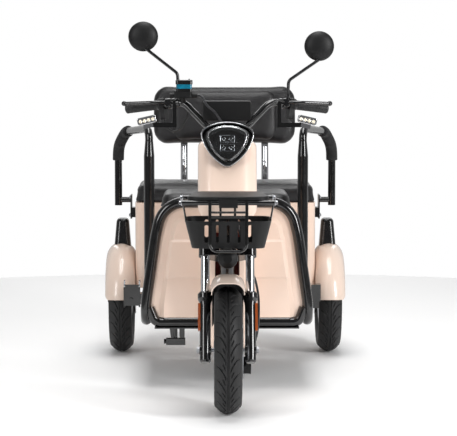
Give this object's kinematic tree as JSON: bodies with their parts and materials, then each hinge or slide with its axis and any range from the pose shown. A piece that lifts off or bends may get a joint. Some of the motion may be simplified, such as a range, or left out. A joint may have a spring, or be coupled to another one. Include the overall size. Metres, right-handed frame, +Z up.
{
  "type": "electric tricycle",
  "caption": "Electric passenger tricycle with a steered telescopic fork, leg shield, driver's seat, rear bench with backrest and armrests, lamps, mirrors, rack and basket.",
  "frame": {"origin": "on the ground, midway along the whole length, on the centre plane", "axes": "-Y is the way it travels, +X is the vehicle's left side, +Z is up"},
  "size_m": [0.938, 2.0008, 1.2939],
  "materials": {
    "cream_panel": "glossy cream lacquer",
    "black_frame": "gloss black enamel",
    "beige_fender": "gloss beige enamel",
    "black_plastic": "matte black",
    "gloss_black_plastic": "gloss black",
    "chrome": "polished chrome",
    "rubber": "matte black rubber",
    "foam_grip": "soft black foam",
    "tyre": "black tread rubber",
    "leather": "black artificial leather",
    "cast_alloy": "satin cast alloy",
    "steel": "machined steel",
    "clear_lens": "clear lens",
    "fluid_bottle": "translucent blue-green plastic",
    "lamp_face": "chromed lamp body with clear face"
  },
  "bodies": {
    "chassis": {"guard_hoop": "black_frame", "side_rails": "black_frame", "cross_members": "black_frame", "down_tube": "black_frame", "floor_pan": "black_frame", "leg_shield": "cream_panel", "lower_cowl": "cream_panel", "nose_column": "cream_panel", "headlight_housing": "gloss_black_plastic", "headlight_rim": "chrome", "headlight_bezel": "black_plastic", "headlight_module": "gloss_black_plastic", "side_brackets": "black_frame", "headlight_lens": "clear_lens", "basket_rack": "black_frame", "front_basket": "black_plastic", "front_tray": "black_plastic", "seat_bucket": "cream_panel", "battery_pack": "black_plastic", "rear_box": "cream_panel", "backrest": "leather", "backrest_posts": "chrome", "armrest_left": "black_frame", "armrest_right": "black_frame", "armrest_grips": "foam_grip", "rear_axle": "black_frame", "rear_springs": "black_frame", "rear_fenders": "beige_fender", "fender_lamps": "gloss_black_plastic", "brake_pedal": "black_frame", "rear_bumper": "black_frame", "plate_bracket": "black_frame"},
    "steering": {"fork_crown": "black_frame", "fork_stanchions": "chrome", "fork_legs": "black_frame", "front_axle": "steel", "front_fender": "cream_panel", "horn": "black_plastic", "handlebar": "black_frame", "grips": "rubber", "brake_levers": "steel", "switch_pods": "black_plastic", "master_cylinder": "black_plastic", "fluid_reservoir": "fluid_bottle", "mirrors": "black_plastic", "instrument_box": "black_plastic", "spotlight_brackets": "black_frame", "spotlights": "lamp_face", "brake_caliper": "black_frame", "control_cables": "rubber", "brake_hose": "rubber"},
    "front_wheel": {"front_tyre": "tyre", "front_rim": "cast_alloy", "brake_disc": "steel"},
    "rear_wheel_left": {"rear_tyre_left": "tyre", "rear_rim_left": "cast_alloy"},
    "rear_wheel_right": {"rear_tyre_right": "tyre", "rear_rim_right": "cast_alloy"},
    "driver_seat": {"driver_seat": "leather"},
    "passenger_seat": {"passenger_seat": "leather"}
  },
  "joints": [
    {"name": "steering", "type": "hinge", "parent": "chassis", "child": "steering", "pos_m": [0, -0.7537, 0.19495], "axis": [0, 0.4067, 0.9135], "range_deg": [-38, 38]},
    {"name": "front_wheel_spin", "type": "hinge", "parent": "steering", "child": "front_wheel", "pos_m": [0, -0.7875, 0.21], "axis": [1, 0, 0], "continuous": true},
    {"name": "rear_wheel_left_spin", "type": "hinge", "parent": "chassis", "child": "rear_wheel_left", "pos_m": [0.41, 0.6125, 0.21], "axis": [1, 0, 0], "continuous": true},
    {"name": "rear_wheel_right_spin", "type": "hinge", "parent": "chassis", "child": "rear_wheel_right", "pos_m": [-0.41, 0.6125, 0.21], "axis": [1, 0, 0], "continuous": true},
    {"name": "driver_seat_lid", "type": "hinge", "parent": "chassis", "child": "driver_seat", "pos_m": [0, 0.1045, 0.61], "axis": [1, 0, 0], "range_deg": [0, 70]},
    {"name": "passenger_seat_lid", "type": "hinge", "parent": "chassis", "child": "passenger_seat", "pos_m": [0, 0.8125, 0.603], "axis": [-1, 0, 0], "range_deg": [0, 70]}
  ]
}
